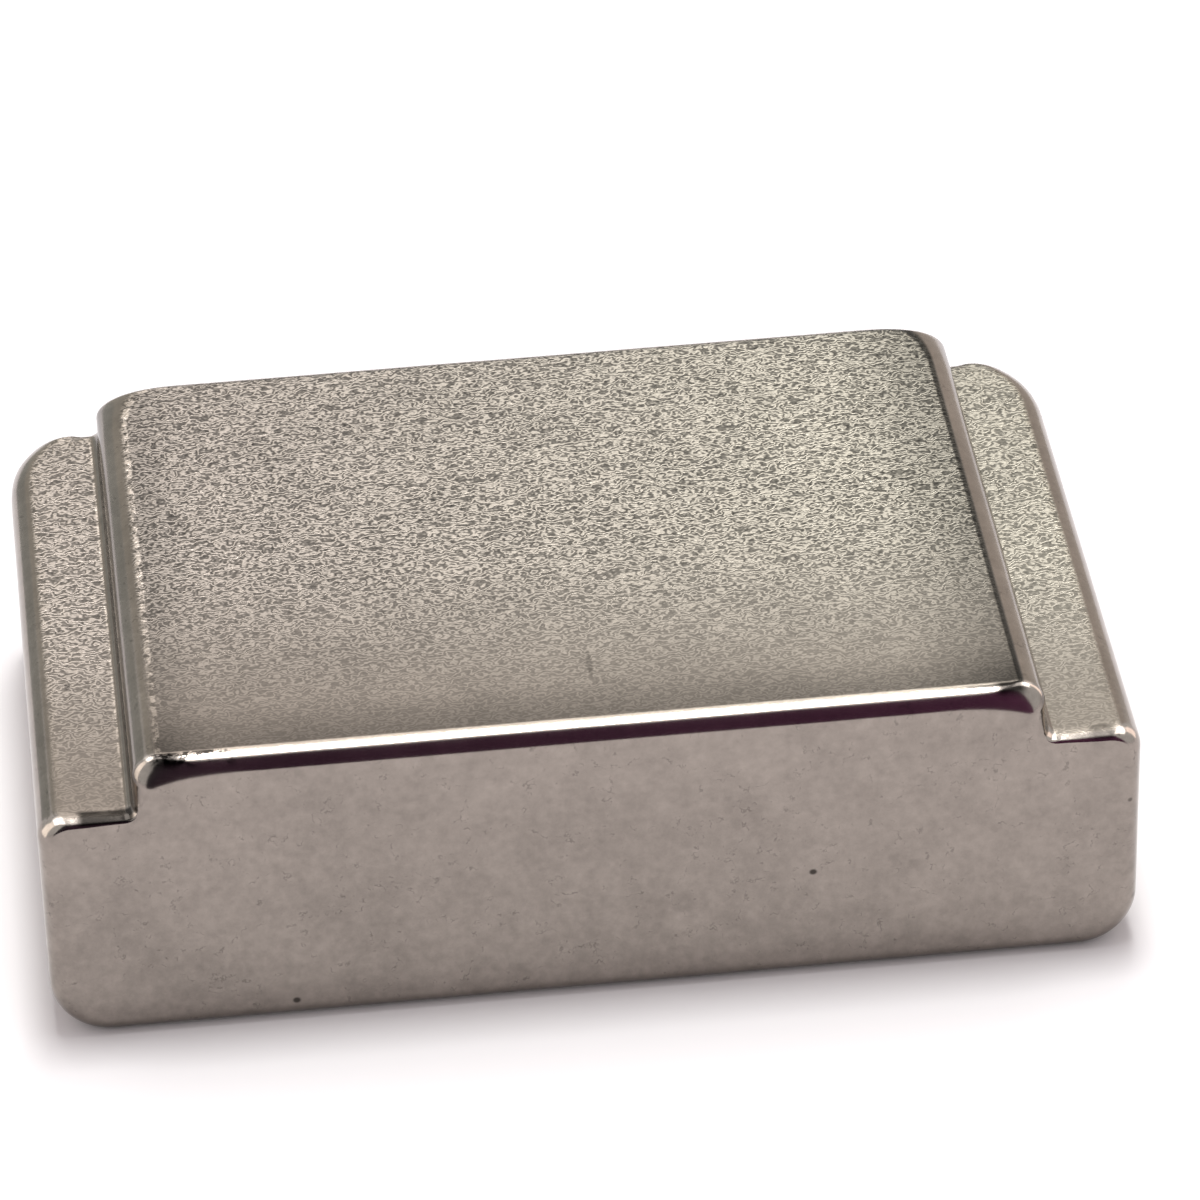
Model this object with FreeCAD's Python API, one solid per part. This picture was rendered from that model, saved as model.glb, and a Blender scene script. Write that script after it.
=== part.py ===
import FreeCAD, Part
import math
import os

# Stepped block magnet, one solid, in millimetres.
# The section across its length is an upside-down T: a wide base with a raised plateau on it,
# and a low ledge at each end. The two long side faces are flat and full height.
# It was sintered and ground to size, then tumbled and plated, so every outer edge is rounded,
# most of all at the corners, and hardly at the foot of each step, where the chips can't reach.
# The ledges' corners at the back are worn much further than those at the front.
# X runs along the block, Y across it and Z up. The origin is the middle of the underside.

# Overall size
length = 20.0
width = 12.5
height = 6.0

# The step at each end
plateau_length = 16.5
ledge_height = 4.9

# Rounds of the section, all along the width
bottom_round = 1.1
ledge_round = 0.5
foot_round = 0.18
crown_reach = 0.6
crown_drop = 0.52

# The worn rims between the section's outline and the two long side faces: how far a rim reaches
# in from its side face, and how far the outline stands back in that face
rim_depth = 0.4
plateau_wear = 0.36
plateau_corner_wear = 0.42
foot_wear = 0.12
end_wear = 0.4
underside_wear = 0.34

# In the side faces the crown is longer and lower, and the round at the ledge's end is smaller
face_crown_reach = 2.7
face_crown_drop = 0.64
face_ledge_round = 0.22

# The corners are worn more. On each side: how far across a corner's wear reaches, and in the side
# face how far the ledge's end stands back, how far its top lies lower and how much its round grows
front_corner_depth = rim_depth
front_corner_wear = 0.24
front_corner_drop = 0.16
front_corner_round = 0.2
back_corner_depth = 1.6
back_corner_wear = 0.5
back_corner_drop = 0.06
back_corner_round = 0.5

# The crown grows longer and lower towards the two back corners of the plateau
back_crown_reach = 1.3
back_crown_drop = 0.1

# Steps from cut to cut through each rim, and on to where the back corners' wear ends
rim_steps = 8
corner_steps = 5

# Share of an eased stretch over which it keeps the direction that it starts in
ease_share = 0.4

UP = FreeCAD.Vector(0, 0, 1)
INWARD = FreeCAD.Vector(-1, 0, 0)


def eased(start, end, along):
    """A gentle S from start to end that leaves and arrives in the direction given."""
    reach = along * (ease_share * (end - start).dot(along))
    curve = Part.BezierCurve()
    curve.setPoles([start, start + reach, end - reach, end])
    return curve.toShape()


def quarter_round(centre, reach, rise):
    """From the upright side of a corner to its level side, flattened where rise isn't reach."""
    upright = centre + FreeCAD.Vector(reach, 0, 0)
    level = centre + FreeCAD.Vector(0, 0, rise)
    if math.isclose(abs(reach), abs(rise)):
        middle = centre + FreeCAD.Vector(reach, 0, rise) * math.sqrt(0.5)
        return Part.Arc(upright, middle, level).toShape()
    curve = Part.BezierCurve()
    curve.setPoles([upright, centre + FreeCAD.Vector(reach, 0, rise), level])
    curve.setWeight(2, math.sqrt(0.5))
    return curve.toShape()


def wear_left(depth, reach):
    """The share of a wear that is left at a depth: all of it in the side face, none past its reach."""
    if depth >= reach:
        return 0.0
    return 1 - math.sqrt(1 - (1 - depth / reach) ** 2)


def section(place, worn, corner_back, corner_down, corner_round, long_crown, low_crown):
    """The upside-down T at one place across the width, with what is worn off it there."""
    plateau_back = worn * plateau_wear
    riser_back = worn * plateau_corner_wear
    foot_back = worn * foot_wear
    end_back = worn * end_wear
    underside_back = worn * underside_wear
    reach = crown_reach + worn * (face_crown_reach - crown_reach) + long_crown
    drop = crown_drop + worn * (face_crown_drop - crown_drop) + low_crown
    edge_round = ledge_round + worn * (face_ledge_round - ledge_round) + corner_round
    end = length / 2
    ledge_end = end - corner_back
    ledge_top = ledge_height - corner_down
    riser = plateau_length / 2
    foot_top = ledge_height + foot_round
    crown_foot = height - drop

    def at(x, z):
        return FreeCAD.Vector(x, place, z)

    def face_line(start, finish, along):
        if corner_back == 0:
            return Part.makeLine(start, finish)
        return eased(start, finish, along)

    right_side = [
        quarter_round(at(end - bottom_round, bottom_round), bottom_round - end_back,
                      underside_back - bottom_round),
        face_line(at(end - end_back, bottom_round), at(ledge_end, ledge_top - edge_round), UP),
        quarter_round(at(ledge_end - edge_round, ledge_top - edge_round), edge_round, edge_round),
        face_line(at(ledge_end - edge_round, ledge_top),
                  at(riser + foot_round, ledge_height - foot_back), INWARD),
        quarter_round(at(riser + foot_round, foot_top), -foot_round - foot_back, -foot_round - foot_back),
        Part.makeLine(at(riser - foot_back, foot_top), at(riser - riser_back, crown_foot)),
        quarter_round(at(riser - reach, crown_foot), reach - riser_back, drop - plateau_back),
    ]
    middle = at(0, 0)
    left_side = [edge.mirror(middle, INWARD) for edge in right_side]
    underside = Part.makeLine(at(bottom_round - end, underside_back),
                              at(end - bottom_round, underside_back))
    plateau = Part.makeLine(at(riser - reach, height - plateau_back),
                            at(reach - riser, height - plateau_back))
    edges = [underside] + right_side + [plateau] + list(reversed(left_side))
    return Part.Wire(edges)


def front_section(depth):
    corner = wear_left(depth, front_corner_depth)
    return section(depth - width / 2, wear_left(depth, rim_depth), corner * front_corner_wear,
                   corner * front_corner_drop, corner * front_corner_round, 0, 0)


def back_section(depth):
    corner = wear_left(depth, back_corner_depth)
    return section(width / 2 - depth, wear_left(depth, rim_depth), corner * back_corner_wear,
                   corner * back_corner_drop, corner * back_corner_round,
                   corner * back_crown_reach, corner * back_crown_drop)


def stepped_block():
    """Ruled from cut to cut; the cuts lie closest where a rim bends most, next to its side face."""
    turns = [math.pi / 2 * step / rim_steps for step in range(rim_steps + 1)]
    rim_depths = [rim_depth * (1 - math.cos(turn)) for turn in turns]
    corner_step = (back_corner_depth - rim_depth) / corner_steps
    corner_depths = [rim_depth + corner_step * (step + 1) for step in range(corner_steps)]
    cuts = [front_section(depth) for depth in rim_depths]
    cuts += [back_section(depth) for depth in reversed(rim_depths + corner_depths)]
    return Part.makeLoft(cuts, True, True).removeSplitter()


os.makedirs("parts", exist_ok=True)
block = stepped_block()
block.exportStep("parts/stepped_block.step")
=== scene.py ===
import math

import bpy
import numpy as np
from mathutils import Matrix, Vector, noise


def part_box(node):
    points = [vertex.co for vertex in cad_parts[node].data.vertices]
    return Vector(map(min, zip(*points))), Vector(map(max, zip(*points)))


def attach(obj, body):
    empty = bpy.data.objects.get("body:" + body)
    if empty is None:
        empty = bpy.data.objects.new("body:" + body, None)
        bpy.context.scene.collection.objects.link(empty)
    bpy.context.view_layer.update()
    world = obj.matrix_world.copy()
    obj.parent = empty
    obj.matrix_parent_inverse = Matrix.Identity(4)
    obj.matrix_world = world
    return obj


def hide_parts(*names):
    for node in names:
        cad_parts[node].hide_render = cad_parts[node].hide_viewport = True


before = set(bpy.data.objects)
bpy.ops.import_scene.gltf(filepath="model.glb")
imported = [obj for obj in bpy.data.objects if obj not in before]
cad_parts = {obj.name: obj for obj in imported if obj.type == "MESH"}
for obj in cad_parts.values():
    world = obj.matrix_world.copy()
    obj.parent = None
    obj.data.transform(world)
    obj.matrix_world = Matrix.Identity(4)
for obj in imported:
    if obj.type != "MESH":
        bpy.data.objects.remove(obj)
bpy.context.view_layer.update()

# The stepped block magnet: one sintered piece, tumbled and nickel-plated.
# Lengths below are in millimetres and become metres in the meshes.
MM = 0.001
NODE = "stepped_block"

BLOCK_LOW, BLOCK_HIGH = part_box(NODE)
LENGTH = (BLOCK_HIGH.x - BLOCK_LOW.x) / MM
WIDTH = (BLOCK_HIGH.y - BLOCK_LOW.y) / MM
HEIGHT = (BLOCK_HIGH.z - BLOCK_LOW.z) / MM

# The section, as the solid has it
PLATEAU_LENGTH = 16.5
LEDGE_HEIGHT = 4.9
BOTTOM_ROUND = 1.1
LEDGE_ROUND = 0.5
FOOT_ROUND = 0.18
CROWN_REACH = 0.6
CROWN_DROP = 0.52

# The worn rims between the section and the two long side faces
RIM_DEPTH = 0.4
PLATEAU_WEAR = 0.36
PLATEAU_CORNER_WEAR = 0.42
FOOT_WEAR = 0.12
END_WEAR = 0.4
UNDERSIDE_WEAR = 0.34

# The crown and the ledge's round in the side faces
FACE_CROWN_REACH = 2.7
FACE_CROWN_DROP = 0.64
FACE_LEDGE_ROUND = 0.22

# The corners are worn more: how far across a corner's wear reaches, and in the side face how far
# the ledge's end stands back, how far its top lies lower and how much its round grows, and how
# much longer and lower the crown becomes
FRONT_CORNER = (0.4, 0.24, 0.16, 0.2, 0.0, 0.0)
BACK_CORNER = (1.6, 0.5, 0.06, 0.5, 1.3, 0.1)
EASE_SHARE = 0.4

# Points along each stretch of the half section, from the underside to the plateau's middle
UNDERSIDE_POINTS = 44
BOTTOM_ARC_POINTS = 18
END_FACE_POINTS = 26
LEDGE_ARC_POINTS = 12
LEDGE_POINTS = 14
FOOT_ARC_POINTS = 8
RISER_POINTS = 6
CROWN_POINTS = 24
PLATEAU_POINTS = 68
# Rows across the width
RIM_ROWS = 14
CORE_ROWS = 100
# Rings of each flat side face, from its outline to its middle
FACE_RINGS = 26
FACE_MIDDLE_HEIGHT = 0.42 * HEIGHT

# Slow unevenness that grinding and plating leave in the faces
SWELL_SIZE = 3.2
SWELL_HEIGHT = 0.006
RIPPLE_SIZE = 0.9
RIPPLE_HEIGHT = 0.0012


def wear_left(depth, reach):
    """The share of a wear that is left at each depth behind the side face."""
    inward = 1 - np.minimum(depth / reach, 1.0)
    return 1 - np.sqrt(1 - inward ** 2)


def eased(start, end, points, axis):
    """Rows of points from start to end; the other coordinate changes in a gentle S."""
    share = np.linspace(0.0, 1.0, points + 1)[:-1]
    straight_on = 3 * share * (1 - share) ** 2 * EASE_SHARE
    straight_on = straight_on + 3 * share ** 2 * (1 - share) * (1 - EASE_SHARE) + share ** 3
    across = 3 * share ** 2 - 2 * share ** 3
    mix = [across, across]
    mix[axis] = straight_on
    columns = []
    for k in (0, 1):
        columns.append(start[k][:, None] * (1 - mix[k]) + end[k][:, None] * mix[k])
    return np.stack(columns, axis=2)


def sloped(start, end, points):
    """Rows of points on a straight line from start to end."""
    share = np.linspace(0.0, 1.0, points + 1)[:-1]
    columns = [start[k][:, None] * (1 - share) + end[k][:, None] * share for k in (0, 1)]
    return np.stack(columns, axis=2)


def swept(centre, reach_x, reach_z, start_angle, end_angle, points):
    """Rows of points on a quarter round or a quarter ellipse."""
    turn = np.radians(np.linspace(start_angle, end_angle, points + 1)[:-1])
    x = centre[0][:, None] + reach_x[:, None] * np.cos(turn)
    z = centre[1][:, None] + reach_z[:, None] * np.sin(turn)
    return np.stack([x, z], axis=2)


def half_section(worn, corner_back, corner_down, corner_round, long_crown, low_crown):
    """One row of section points (x, z) for each place across the block, with what is worn off there."""
    plateau_back = worn * PLATEAU_WEAR
    riser_back = worn * PLATEAU_CORNER_WEAR
    foot_back = worn * FOOT_WEAR
    end_back = worn * END_WEAR
    underside_back = worn * UNDERSIDE_WEAR
    reach = CROWN_REACH + worn * (FACE_CROWN_REACH - CROWN_REACH) + long_crown
    drop = CROWN_DROP + worn * (FACE_CROWN_DROP - CROWN_DROP) + low_crown
    edge_round = LEDGE_ROUND + worn * (FACE_LEDGE_ROUND - LEDGE_ROUND) + corner_round
    same = np.ones_like(worn)
    end = LENGTH / 2
    ledge_end = end - corner_back
    ledge_top = LEDGE_HEIGHT - corner_down
    riser = PLATEAU_LENGTH / 2
    foot_x = (riser + FOOT_ROUND) * same
    foot_top = (LEDGE_HEIGHT + FOOT_ROUND) * same
    foot_reach = FOOT_ROUND + foot_back
    crown_foot = HEIGHT - drop
    plateau_top = HEIGHT - plateau_back
    return np.concatenate([
        eased((0 * same, underside_back), ((end - BOTTOM_ROUND) * same, underside_back),
              UNDERSIDE_POINTS, 0),
        swept(((end - BOTTOM_ROUND) * same, BOTTOM_ROUND * same), BOTTOM_ROUND - end_back,
              BOTTOM_ROUND - underside_back, -90, 0, BOTTOM_ARC_POINTS),
        eased((end - end_back, BOTTOM_ROUND * same), (ledge_end, ledge_top - edge_round),
              END_FACE_POINTS, 1),
        swept((ledge_end - edge_round, ledge_top - edge_round), edge_round, edge_round, 0, 90,
              LEDGE_ARC_POINTS),
        eased((ledge_end - edge_round, ledge_top), (foot_x, LEDGE_HEIGHT - foot_back), LEDGE_POINTS, 0),
        swept((foot_x, foot_top), foot_reach, foot_reach, -90, -180, FOOT_ARC_POINTS),
        sloped((riser - foot_back, foot_top), (riser - riser_back, crown_foot), RISER_POINTS),
        swept((riser - reach, crown_foot), reach - riser_back, drop - plateau_back, 0, 90, CROWN_POINTS),
        eased((riser - reach, plateau_top), (0 * same, plateau_top), PLATEAU_POINTS, 0),
        np.stack([0 * same, plateau_top], axis=1)[:, None, :],
    ], axis=1)


def closed_sections(places):
    """The whole outline at each place, once round, from the middle of the underside."""
    front_depth = places + WIDTH / 2
    back_depth = WIDTH / 2 - places
    worn = wear_left(np.minimum(front_depth, back_depth), RIM_DEPTH)
    front_corner = wear_left(front_depth, FRONT_CORNER[0])
    back_corner = wear_left(back_depth, BACK_CORNER[0])
    corner_wear = [front_corner * FRONT_CORNER[k] + back_corner * BACK_CORNER[k] for k in range(1, 6)]
    right = half_section(worn, *corner_wear)
    left = right[:, -2:0:-1].copy()
    left[:, :, 0] *= -1
    return np.concatenate([right, left], axis=1)


def row_places():
    """Places across the width, front to back, closest together in the rims."""
    turn = np.linspace(0.0, math.pi / 2, RIM_ROWS + 1)
    front = RIM_DEPTH * (1 - np.cos(turn)) - WIDTH / 2
    core = np.linspace(front[-1], -front[-1], CORE_ROWS + 1)[1:-1]
    return np.concatenate([front, core, -front[::-1]])


def side_rings(outline):
    """Rings of one flat side face, shrinking from its outline towards its middle."""
    middle = np.array([0.0, outline[0, 1], FACE_MIDDLE_HEIGHT])
    rings = []
    for ring in range(1, FACE_RINGS):
        share = 1 - ring / FACE_RINGS
        rings.append(middle + (outline - middle) * share)
    return np.concatenate(rings), middle


def block_points_and_faces():
    places = row_places()
    sections = closed_sections(places)
    rows, around = sections.shape[:2]
    points = np.empty((rows, around, 3))
    points[:, :, 0] = sections[:, :, 0]
    points[:, :, 1] = places[:, None]
    points[:, :, 2] = sections[:, :, 1]
    faces = []
    for row in range(rows - 1):
        for k in range(around):
            n = (k + 1) % around
            here = row * around
            behind = here + around
            faces.append((here + k, here + n, behind + n, behind + k))
    parts = [points.reshape(-1, 3)]
    count = rows * around
    for outline_row, flipped in ((0, False), (rows - 1, True)):
        rings, middle = side_rings(points[outline_row])
        parts.append(rings)
        parts.append(middle[None, :])
        first = count
        outer = outline_row * around
        for ring in range(FACE_RINGS - 1):
            inner = first + ring * around
            for k in range(around):
                n = (k + 1) % around
                quad = (outer + k, inner + k, inner + n, outer + n)
                faces.append(quad[::-1] if flipped else quad)
            outer = inner
        hub = first + (FACE_RINGS - 1) * around
        for k in range(around):
            n = (k + 1) % around
            triangle = (outer + k, hub, outer + n)
            faces.append(triangle[::-1] if flipped else triangle)
        count = hub + 1
    return np.concatenate(parts), faces


def uneven(mesh):
    """Moves each point along its normal by a slow swell and a finer ripple."""
    count = len(mesh.vertices)
    points = np.empty(count * 3)
    mesh.vertices.foreach_get("co", points)
    points = points.reshape(-1, 3) / MM
    normals = np.empty(count * 3)
    mesh.vertices.foreach_get("normal", normals)
    normals = normals.reshape(-1, 3)
    lifts = np.empty(count)
    for k, point in enumerate(points):
        place = Vector(point)
        swell = noise.noise(place / SWELL_SIZE) * SWELL_HEIGHT
        lifts[k] = swell + noise.noise(place / RIPPLE_SIZE) * RIPPLE_HEIGHT
    points += normals * lifts[:, None]
    mesh.vertices.foreach_set("co", (points * MM).ravel())
    mesh.update()


def make_block():
    points, faces = block_points_and_faces()
    mesh = bpy.data.meshes.new("tumbled_block")
    mesh.from_pydata((points * MM).tolist(), [], faces)
    mesh.validate()
    mesh.update()
    uneven(mesh)
    mesh.shade_smooth()
    block = bpy.data.objects.new("tumbled_block", mesh)
    bpy.context.scene.collection.objects.link(block)
    return block


class Value:
    """A number socket that can be used in Python sums, which add the Math nodes."""

    def __init__(self, nodes, socket):
        self.nodes = nodes
        self.socket = socket

    def maths(self, operation, *others):
        inputs = [other.socket if isinstance(other, Value) else other for other in others]
        node = self.nodes.add("ShaderNodeMath", {"operation": operation}, [self.socket, *inputs])
        return Value(self.nodes, node.outputs[0])

    def reverse(self, operation, other):
        node = self.nodes.add("ShaderNodeMath", {"operation": operation}, [other, self.socket])
        return Value(self.nodes, node.outputs[0])

    def __add__(self, other):
        return self.maths("ADD", other)

    __radd__ = __add__

    def __mul__(self, other):
        return self.maths("MULTIPLY", other)

    __rmul__ = __mul__

    def __sub__(self, other):
        return self.maths("SUBTRACT", other)

    def __rsub__(self, other):
        return self.reverse("SUBTRACT", other)

    def __truediv__(self, other):
        return self.maths("DIVIDE", other)

    def __pow__(self, other):
        return self.maths("POWER", other)

    def clamped(self):
        node = self.nodes.add("ShaderNodeClamp", {}, [self.socket])
        return Value(self.nodes, node.outputs[0])

    def stepped(self, low, high):
        """0 below low, 1 above high and a smooth rise between."""
        node = self.nodes.add("ShaderNodeMapRange", {"interpolation_type": "SMOOTHSTEP"},
                              [self.socket, low, high, 0.0, 1.0])
        return Value(self.nodes, node.outputs[0])


class Nodes:
    """The node tree of one material or of the world."""

    def __init__(self, owner):
        owner.use_nodes = True
        self.tree = owner.node_tree
        self.tree.nodes.clear()

    def add(self, kind, settings=None, inputs=None):
        """One node: its settings are set first, then its sockets get values or links."""
        node = self.tree.nodes.new(kind)
        for name, value in (settings or {}).items():
            setattr(node, name, value)
        pairs = inputs.items() if isinstance(inputs, dict) else enumerate(inputs or [])
        for key, value in pairs:
            if isinstance(value, Value):
                value = value.socket
            if isinstance(value, bpy.types.NodeSocket):
                self.tree.links.new(value, node.inputs[key])
            else:
                node.inputs[key].default_value = value
        return node

    def value(self, kind, settings=None, inputs=None, output=0):
        return Value(self, self.add(kind, settings, inputs).outputs[output])

    def mixed(self, factor, first, second, blend="MIX"):
        node = self.add("ShaderNodeMix", {"data_type": "RGBA", "blend_type": blend},
                        {0: factor, 6: first, 7: second})
        return node.outputs[2]

    def noise(self, place, scale, detail, roughness):
        return self.value("ShaderNodeTexNoise", None,
                          {"Vector": place, "Scale": scale, "Detail": detail, "Roughness": roughness})

    def parts(self, vector):
        """The x, y and z of a vector."""
        return [self.value("ShaderNodeSeparateXYZ", None, [vector], k) for k in range(3)]

    def vector(self, operation, *inputs):
        return self.add("ShaderNodeVectorMath", {"operation": operation}, list(inputs)).outputs[0]


def colour(red, green, blue):
    """A colour given as it looks on a screen, 0 to 255, turned into linear light."""
    linear = []
    for channel in (red, green, blue):
        share = channel / 255
        linear.append(share / 12.92 if share <= 0.04045 else ((share + 0.055) / 1.055) ** 2.4)
    return (*linear, 1.0)


# Tones of the plating, as they look on a screen under plain white light; the level faces' tones run darker
# at the front and lighter at the back and right, which is painted shade and painted reflection
BACK_TONE = colour(166, 156, 147)
FRONT_TONE = colour(142, 131, 121)
RIGHT_TONE = colour(178, 172, 158)
SIDE_TONE = colour(144, 136, 129)

# Small marks in the plating: place in millimetres, reach along x, y and z, and how dark each is
MARKS = (
    ((0.165, -4.27, 6.0), (0.06, 0.45, 0.3), 0.35),
    ((3.96, -6.25, 2.36), (0.08, 0.3, 0.07), 0.8),
    ((-5.55, -6.25, 0.45), (0.08, 0.3, 0.07), 0.75),
    ((-9.24, -2.09, 4.9), (0.06, 0.12, 0.3), 0.6),
    ((9.96, -6.25, 1.06), (0.10, 0.3, 0.09), 0.5),
    ((9.78, -6.25, 3.38), (0.05, 0.3, 0.05), 0.5),
    ((-7.66, -4.28, 6.0), (0.07, 0.12, 0.3), -0.5),
    ((1.7, -6.25, 1.5), (0.55, 0.3, 0.24), -0.10),
)

# Wrinkles of the plating: from ridge to ridge in millimetres, and how far they wander, in ridges
WRINKLE_SPACING = 0.145
WRINKLE_DRIFT = 6.4
# The grain's middle value, how much it changes the tone, and its height in metres
GRAIN_MIDDLE = 0.42
GRAIN_CONTRAST = 1.45
GRAIN_HEIGHT = 0.000004
# How much the slower patches change the tone, everywhere and on the upright faces
CLOUD_CONTRAST = 0.2
UPRIGHT_CLOUD_CONTRAST = 0.2
MOTTLE_CONTRAST = 0.5
CELL_CONTRAST = 0.5
HAIRLINE_DARKNESS = 0.4
# How much lighter the ledges, the upright faces' right end and their top are; the upright faces' lighter
# top is painted shade, darker towards the floor
LEDGE_LIGHTNESS = 0.10
RIGHT_LEDGE_LOSS = 0.06
RIGHT_LIGHTNESS = 0.06
TOP_LIGHTNESS = 0.09
# The painted shade on the plateau: the share of light that it loses at its edges
FRONT_DIMNESS = 0.42
LEFT_DIMNESS = 0.30
RIGHT_DIMNESS = 0.45
# Painted light and shade: painted glints and the front rim's painted highlight add light; painted shade
# takes it away in gaps in the rims' highlight, in the steps' corners, along the right crown and near the
# floor
SPARKLE_LIGHT = 1.3
RIM_HIGHLIGHT_LIGHT = 1.5
GAP_DARKNESS = 0.88
RIGHT_LEDGE_GAP = 0.6
STEP_SHADE_DARKNESS = 0.62
CROWN_LINE_DARKNESS = 0.8
FLOOR_DARKNESS = 0.5
BRIGHTEST_SHADE = 2.6


def band(value, rise, fall):
    """1 between the two ranges and 0 outside them, with a smooth rise and fall."""
    return value.stepped(*rise) * (1.0 - value.stepped(*fall))


def plating_grain(nodes, place, across):
    """Wavy wrinkles that run along x, 0 in the valleys and 1 on the ridges."""
    stretched = nodes.vector("MULTIPLY", place, (0.8, 1.0, 1.0))
    drift = nodes.noise(stretched, 4.0, 2.0, 0.6)
    phase = across / WRINKLE_SPACING + (drift - 0.5) * WRINKLE_DRIFT
    wrinkles = ((phase * math.tau).maths("SINE") * 0.5 + 0.5) ** 1.7
    fine = nodes.noise(stretched, 12.0, 1.0, 0.5)
    return wrinkles + (fine - 0.5) * 0.7


class Surface:
    """What the plating depends on at each point: the place in millimetres, the slope and the noises."""

    def __init__(self, nodes):
        self.nodes = nodes
        place = nodes.add("ShaderNodeTexCoord").outputs["Object"]
        self.place = nodes.vector("MULTIPLY", place, (1 / MM, 1 / MM, 1 / MM))
        self.along, self.across, self.rise = nodes.parts(self.place)
        normal = nodes.add("ShaderNodeNewGeometry").outputs["Normal"]
        to_side, backward, self.up = nodes.parts(normal)
        self.forward = 0.0 - backward
        self.sideways = to_side.maths("ABSOLUTE")
        self.level = self.up.stepped(0.94, 0.995)
        self.upright = 1.0 - self.level
        self.to_back = self.across.stepped(-6.2, 0.5)
        self.to_right = self.along.stepped(-8.0, 9.0)
        self.on_ledge = 1.0 - self.rise.stepped(5.0, 5.8)
        self.on_plateau = 1.0 - self.on_ledge
        self.clouds = nodes.noise(self.place, 0.7, 3.0, 0.55)
        self.mottles = nodes.noise(self.place, 1.9, 6.0, 0.72)
        self.cells = nodes.noise(self.place, 5.0, 3.0, 0.7)
        self.grain = plating_grain(nodes, self.place, self.across)
        strength = self.level * (self.to_back * 0.72 + self.to_right * 0.04 + 0.24)
        self.grain_strength = strength * (1.0 - self.on_ledge * self.to_right * 0.15)


def hairlines(surface):
    """Faint crooked cracks in a few patches of the plating."""
    nodes = surface.nodes
    warp = nodes.add("ShaderNodeTexNoise", None,
                     {"Vector": surface.place, "Scale": 1.6, "Detail": 4.0, "Roughness": 0.65})
    shift = nodes.vector("MULTIPLY", warp.outputs["Color"], (1.6, 1.6, 1.6))
    warped = nodes.vector("ADD", surface.place, shift)
    gap = nodes.value("ShaderNodeTexVoronoi", {"feature": "DISTANCE_TO_EDGE"},
                      {"Vector": warped, "Scale": 0.85}, "Distance")
    return (1.0 - gap.stepped(0.0, 0.035)) * surface.cells.stepped(0.5, 0.64)


def mark_darkness(surface):
    """The share of light that the small marks take away."""
    nodes = surface.nodes
    darkness = None
    for centre, reach, depth in MARKS:
        away = nodes.vector("SUBTRACT", surface.place, centre)
        shares = nodes.vector("DIVIDE", away, reach)
        distance = nodes.value("ShaderNodeVectorMath", {"operation": "LENGTH"}, [shares], 1)
        mark = (1.0 - distance.stepped(0.5, 1.2)) * depth
        darkness = mark if darkness is None else darkness + mark
    return darkness


def plain_shade(surface):
    """Grain, clouds, mottles and cracks, and the slow changes along the faces; the upright faces' darker
    bottom is painted shade.
    """
    upright = surface.upright
    ledge = surface.on_ledge * surface.level
    shade = (surface.grain - GRAIN_MIDDLE) * surface.grain_strength * GRAIN_CONTRAST + 1.0
    shade = shade + (surface.clouds - 0.5) * (upright * UPRIGHT_CLOUD_CONTRAST + CLOUD_CONTRAST)
    shade = shade + (surface.mottles - 0.5) * upright * MOTTLE_CONTRAST
    shade = shade + (surface.cells - 0.5) * upright * CELL_CONTRAST
    shade = shade - hairlines(surface) * upright * HAIRLINE_DARKNESS
    shade = shade + ledge * (LEDGE_LIGHTNESS - surface.to_right * RIGHT_LEDGE_LOSS)
    shade = shade + upright * surface.to_right * RIGHT_LIGHTNESS
    # Painted shade: the upright faces darken towards the floor
    return shade + (surface.rise.stepped(1.5, 6.0) - 0.5) * upright * TOP_LIGHTNESS


def plateau_dimness(surface):
    """The painted shade on the plateau: the share of light that it loses towards its front, left and right
    edges.
    """
    front = (1.0 - surface.across.stepped(-6.1, -4.4)) * FRONT_DIMNESS
    left = (1.0 - surface.along.stepped(-7.9, -6.6)) * LEFT_DIMNESS
    right = surface.along.stepped(5.6, 8.3) * RIGHT_DIMNESS
    return (front + left + right) * surface.on_plateau * surface.level


def sparkles(surface):
    """Painted glints along the edges beside the left step."""
    inner_edge = band(surface.up, (0.965, 0.988), (0.997, 0.9998))
    left_step = band(surface.along, (-9.1, -8.8), (-7.5, -5.5))
    return surface.cells.stepped(0.45, 0.57) * inner_edge * left_step * (surface.to_back * 0.5 + 0.5)


def painted_rim_highlight(surface):
    """The upper edge of the plateau's front rim, where a highlight is painted into the colour."""
    return surface.forward.stepped(0.015, 0.09) * surface.up.stepped(0.80, 0.90) * surface.on_plateau


def light_left_in_rims(surface):
    """The share of light that is left in the front rims, where painted shade breaks their highlight into
    dark gaps and specks in a few places.
    """
    rim = surface.forward.stepped(0.03, 0.12) * surface.up.stepped(0.45, 0.75)
    left_gap = band(surface.along, (-7.95, -7.75), (-7.45, -7.25)) * surface.on_plateau
    right_gap = band(surface.along, (7.25, 7.45), (7.75, 7.95)) * surface.on_plateau
    left_ledge_gap = band(surface.along, (-9.35, -9.15), (-8.2, -8.1)) * surface.on_ledge
    right_ledge_gap = band(surface.along, (8.95, 9.15), (9.4, 9.5)) * surface.on_ledge * RIGHT_LEDGE_GAP
    gaps = (left_gap + right_gap + left_ledge_gap + right_ledge_gap) * GAP_DARKNESS
    speckled = band(surface.along, (-7.95, -7.75), (-6.8, -6.1)) * surface.on_plateau
    specks = surface.cells.stepped(0.42, 0.52) * 0.9 + 0.1
    return (1.0 - rim * gaps) * (1.0 - rim * speckled * (1.0 - specks))


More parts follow.
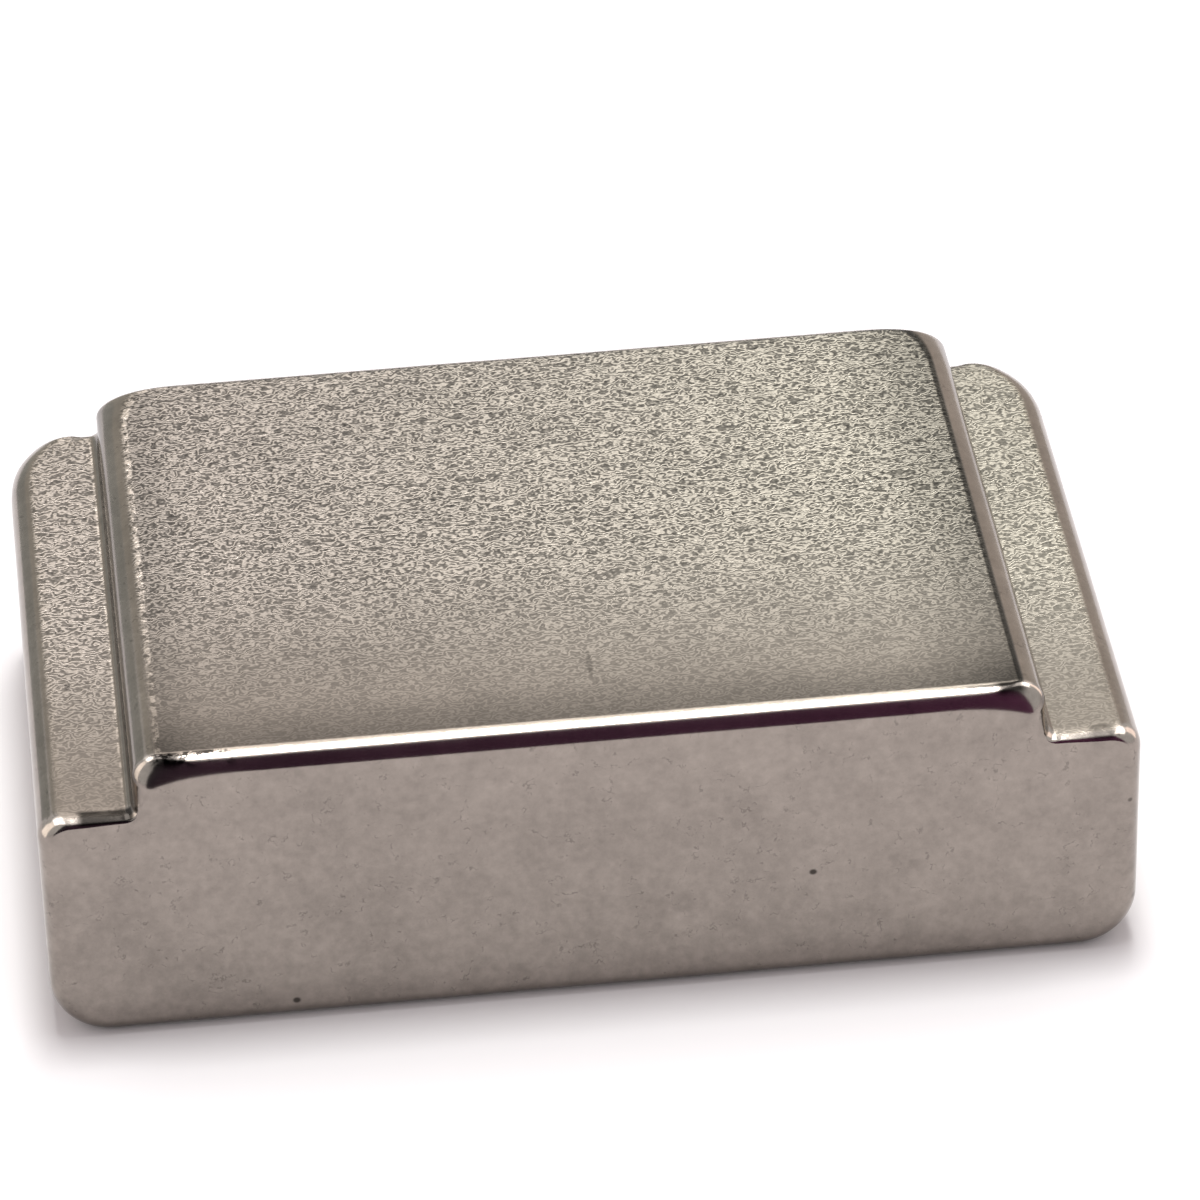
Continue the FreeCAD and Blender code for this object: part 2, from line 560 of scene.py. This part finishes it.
def light_left_in_lines(surface):
    """The share of light that is left where shade is painted into the steps' corners and along the right
    crown's inner edge.
    """
    in_step = band(surface.rise, (4.93, 5.0), (5.6, 5.85))
    step_shade = in_step * surface.sideways.stepped(0.5, 0.9)
    crown = band(surface.up, (0.94, 0.97), (0.985, 0.995)) * surface.on_plateau
    crown_line = crown * surface.along.stepped(6.0, 7.5)
    return (1.0 - step_shade * STEP_SHADE_DARKNESS) * (1.0 - crown_line * CROWN_LINE_DARKNESS)


def plating_shade(surface):
    """What the tone is multiplied by at each point: grain, patches and marks, with painted highlights and
    painted shade.
    """
    shade = plain_shade(surface) * (1.0 - plateau_dimness(surface))
    shade = shade * (1.0 - mark_darkness(surface)) + sparkles(surface) * SPARKLE_LIGHT
    # Painted highlight along the upper edge of the plateau's front rim
    shade = shade + painted_rim_highlight(surface) * RIM_HIGHLIGHT_LIGHT
    shade = shade * light_left_in_rims(surface) * light_left_in_lines(surface)
    # Painted shade: the plating darkens at the bottom, next to the floor
    above_floor = surface.rise.stepped(0.04, 0.42)
    shade = shade * (above_floor * FLOOR_DARKNESS + (1.0 - FLOOR_DARKNESS))
    return shade.maths("MINIMUM", BRIGHTEST_SHADE)


def plating_tone(surface):
    """The plating's colour: darker at the front and lighter at the right, which is painted shade and
    painted reflection, and pinker on the upright faces.
    """
    mixed = surface.nodes.mixed
    top = mixed(surface.to_back, FRONT_TONE, BACK_TONE)
    top = mixed(surface.to_right * (surface.to_back * 0.7 + 0.3), top, RIGHT_TONE)
    return mixed(surface.level, SIDE_TONE, top)


def nickel_material():
    """Satin nickel: finely wrinkled on the level faces and smooth on the upright ones; its colour holds
    painted highlights and painted shade.
    """
    material = bpy.data.materials.new("nickel_plating")
    nodes = Nodes(material)
    surface = Surface(nodes)
    shade = plating_shade(surface)
    shades = nodes.add("ShaderNodeCombineXYZ", None, [shade, shade, shade]).outputs[0]
    relief = surface.grain * (surface.grain_strength + 0.03)
    bump = nodes.add("ShaderNodeBump", None,
                     {"Strength": 1.0, "Distance": GRAIN_HEIGHT, "Height": relief})
    rough = surface.level * 0.13 + (surface.clouds - 0.5) * 0.08 + 0.17
    shader = nodes.add("ShaderNodeBsdfPrincipled", None,
                       {"Base Color": nodes.vector("MULTIPLY", plating_tone(surface), shades),
                        "Metallic": 1.0, "Roughness": rough, "Normal": bump.outputs[0]})
    nodes.add("ShaderNodeOutputMaterial", None, {"Surface": shader.outputs[0]})
    return material


# The photograph's view: angles in degrees, lengths as shares of the block's length
PHOTO_SIDE = 1200
VIEW_ELEVATION = 35.235
VIEW_YAW = -5.659
VIEW_ROLL = -1.505
VIEW_DISTANCE = 6.3296
VIEW_SHIFT_RIGHT = -0.0390
VIEW_SHIFT_UP = -0.0591
VIEW_FOCUS_PIXELS = 6717.8
SENSOR_WIDTH = 36.0
NEAREST_SEEN = 0.001
FARTHEST_SEEN = 20.0


def make_camera():
    elevation = math.radians(VIEW_ELEVATION)
    yaw = math.radians(VIEW_YAW)
    roll = math.radians(VIEW_ROLL)
    flat = math.cos(elevation)
    back = Vector((math.sin(yaw) * flat, -math.cos(yaw) * flat, math.sin(elevation)))
    level_right = Vector((0, 0, 1)).cross(back).normalized()
    level_up = back.cross(level_right)
    right = level_right * math.cos(roll) + level_up * math.sin(roll)
    up = level_up * math.cos(roll) - level_right * math.sin(roll)
    scale = LENGTH * MM
    centre = Vector((0, 0, HEIGHT * MM / 2))
    place = centre + (back * VIEW_DISTANCE - right * VIEW_SHIFT_RIGHT - up * VIEW_SHIFT_UP) * scale
    data = bpy.data.cameras.new("photo_camera")
    data.sensor_width = SENSOR_WIDTH
    data.lens = VIEW_FOCUS_PIXELS / PHOTO_SIDE * SENSOR_WIDTH
    data.clip_start = NEAREST_SEEN
    data.clip_end = FARTHEST_SEEN
    camera = bpy.data.objects.new("photo_camera", data)
    turned = (right, up, back)
    for row in range(3):
        for column in range(3):
            camera.matrix_world[row][column] = turned[column][row]
    camera.matrix_world.translation = place
    bpy.context.scene.collection.objects.link(camera)
    bpy.context.scene.camera = camera


# The stage, in metres
FLOOR_REACH = 1.5
FLOOR_TONE = 0.92

# Upright cards: name, where each starts and ends on the floor, its top, and its tones at both ends
UPRIGHT_CARDS = (
    ("front_card", (-0.030, -0.036), (0.034, -0.036), 0.11, (0.04, 0.032, 0.042), (0.16, 0.05, 0.12)),
    ("left_card", (-0.031, 0.020), (-0.030, 0.090), 0.020, (0.52, 0.53, 0.50), None),
    ("back_left_card", (-0.046, 0.060), (-0.010, 0.085), 0.056, (0.64, 0.62, 0.56), None),
    ("right_card", (0.030, 0.020), (0.031, 0.090), 0.028, (0.72, 0.65, 0.59), None),
    ("back_right_card", (0.030, 0.082), (0.042, 0.078), 0.058, (0.30, 0.27, 0.22), None),
    ("left_side_card", (-0.050, -0.015), (-0.050, 0.012), 0.045, (3.0, 2.8, 2.6), None),
    ("right_side_card", (0.056, 0.008), (0.056, 0.030), 0.040, (3.0, 2.6, 2.4), None),
    ("back_card", (-0.060, 0.120), (0.060, 0.120), 0.034, (0.28, 0.27, 0.25), None),
)

# Level cards that light up the block's corners: name and middle, and what they all share
CORNER_CARDS = (
    ("left_corner_light", (-0.057, 0.018, 0.096)),
    ("right_corner_light", (0.069, 0.022, 0.086)),
)
CORNER_CARD_REACH = 0.034
CORNER_CARD_STRENGTH = 6.0

# Colour of the room for the light on the floor, and for what is seen and mirrored
ROOM_LIGHT = (0.67, 0.61, 0.62, 1.0)
ROOM_SEEN = (1.0, 1.0, 1.0, 1.0)


def flat_card(name, corners, material):
    """A four-cornered sheet; corners are in metres."""
    mesh = bpy.data.meshes.new(name)
    mesh.from_pydata(corners, [], [(0, 1, 2, 3)])
    mesh.materials.append(material)
    card = bpy.data.objects.new(name, mesh)
    bpy.context.scene.collection.objects.link(card)
    return card


def level_corners(centre, reach):
    """The corners of a level square."""
    x, y, z = centre
    return [(x - reach, y - reach, z), (x + reach, y - reach, z),
            (x + reach, y + reach, z), (x - reach, y + reach, z)]


def only_mirrored(card):
    """The card is seen by mirror-like reflections alone."""
    card.visible_camera = False
    card.visible_diffuse = False
    card.visible_shadow = False


def make_floor():
    material = bpy.data.materials.new("pale_floor")
    nodes = Nodes(material)
    shader = nodes.add("ShaderNodeBsdfDiffuse", None, {"Color": (FLOOR_TONE, FLOOR_TONE, FLOOR_TONE, 1.0)})
    nodes.add("ShaderNodeOutputMaterial", None, {"Surface": shader.outputs[0]})
    flat_card("floor", level_corners((0, 0, 0), FLOOR_REACH), material)


def upright_card(name, start, finish, top, start_tone, finish_tone):
    """An upright card in reflections; its tone runs from start to finish."""
    material = bpy.data.materials.new(name)
    nodes = Nodes(material)
    along = nodes.parts(nodes.add("ShaderNodeTexCoord").outputs["Object"])[0]
    tone = nodes.mixed(along.stepped(start[0], finish[0]), (*start_tone, 1.0), (*finish_tone, 1.0))
    shader = nodes.add("ShaderNodeEmission", None, {"Color": tone, "Strength": 1.0})
    nodes.add("ShaderNodeOutputMaterial", None, {"Surface": shader.outputs[0]})
    corners = [(*start, 0), (*finish, 0), (*finish, top), (*start, top)]
    only_mirrored(flat_card(name, corners, material))


def corner_card(name, centre):
    """A level bright card in reflections, for the glints on the block's corners."""
    material = bpy.data.materials.new(name)
    nodes = Nodes(material)
    shader = nodes.add("ShaderNodeEmission", None,
                       {"Color": (1.0, 1.0, 1.0, 1.0), "Strength": CORNER_CARD_STRENGTH})
    nodes.add("ShaderNodeOutputMaterial", None, {"Surface": shader.outputs[0]})
    only_mirrored(flat_card(name, level_corners(centre, CORNER_CARD_REACH), material))


def make_cards():
    """The surroundings: a dark card before the block, grey ones behind it, bright ones at the sides."""
    for name, start, finish, top, start_tone, finish_tone in UPRIGHT_CARDS:
        upright_card(name, start, finish, top, start_tone, finish_tone or start_tone)
    for name, centre in CORNER_CARDS:
        corner_card(name, centre)


def make_world():
    """A white room; what it adds to the floor's light is dimmer and slightly pink."""
    world = bpy.data.worlds.new("studio")
    bpy.context.scene.world = world
    nodes = Nodes(world)
    rays = nodes.add("ShaderNodeLightPath").outputs
    seen = Value(nodes, rays["Is Camera Ray"]) + Value(nodes, rays["Is Glossy Ray"])
    seen = (seen + Value(nodes, rays["Is Transmission Ray"])).clamped()
    light = nodes.mixed(seen, ROOM_LIGHT, ROOM_SEEN)
    shader = nodes.add("ShaderNodeBackground", None, {"Color": light, "Strength": 1.0})
    nodes.add("ShaderNodeOutputWorld", None, {"Surface": shader.outputs[0]})


def area_lamp(name, place, size, depth, radiance):
    """One soft lamp that faces the floor."""
    lamp = bpy.data.lights.new(name, "AREA")
    lamp.shape = "RECTANGLE"
    lamp.size = size
    lamp.size_y = depth
    lamp.energy = radiance * math.pi * size * depth
    holder = bpy.data.objects.new(name, lamp)
    holder.location = place
    bpy.context.scene.collection.objects.link(holder)
    return holder


def make_lamps():
    """A narrow softbox overhead, mirrored in the front rim, and a plain lamp for the floor's shadow."""
    area_lamp("overhead_softbox", (0.0155, 0.0265, 0.206), 0.041, 0.109, 10.0)
    floor_lamp = area_lamp("floor_lamp", (0.0, 0.022, 0.250), 0.050, 0.050, 29.0)
    floor_lamp.visible_glossy = False


def main():
    bpy.context.scene.view_settings.view_transform = "Standard"
    block = make_block()
    block.data.materials.append(nickel_material())
    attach(block, "root")
    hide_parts(NODE)
    make_floor()
    make_cards()
    make_world()
    make_lamps()
    make_camera()


main()
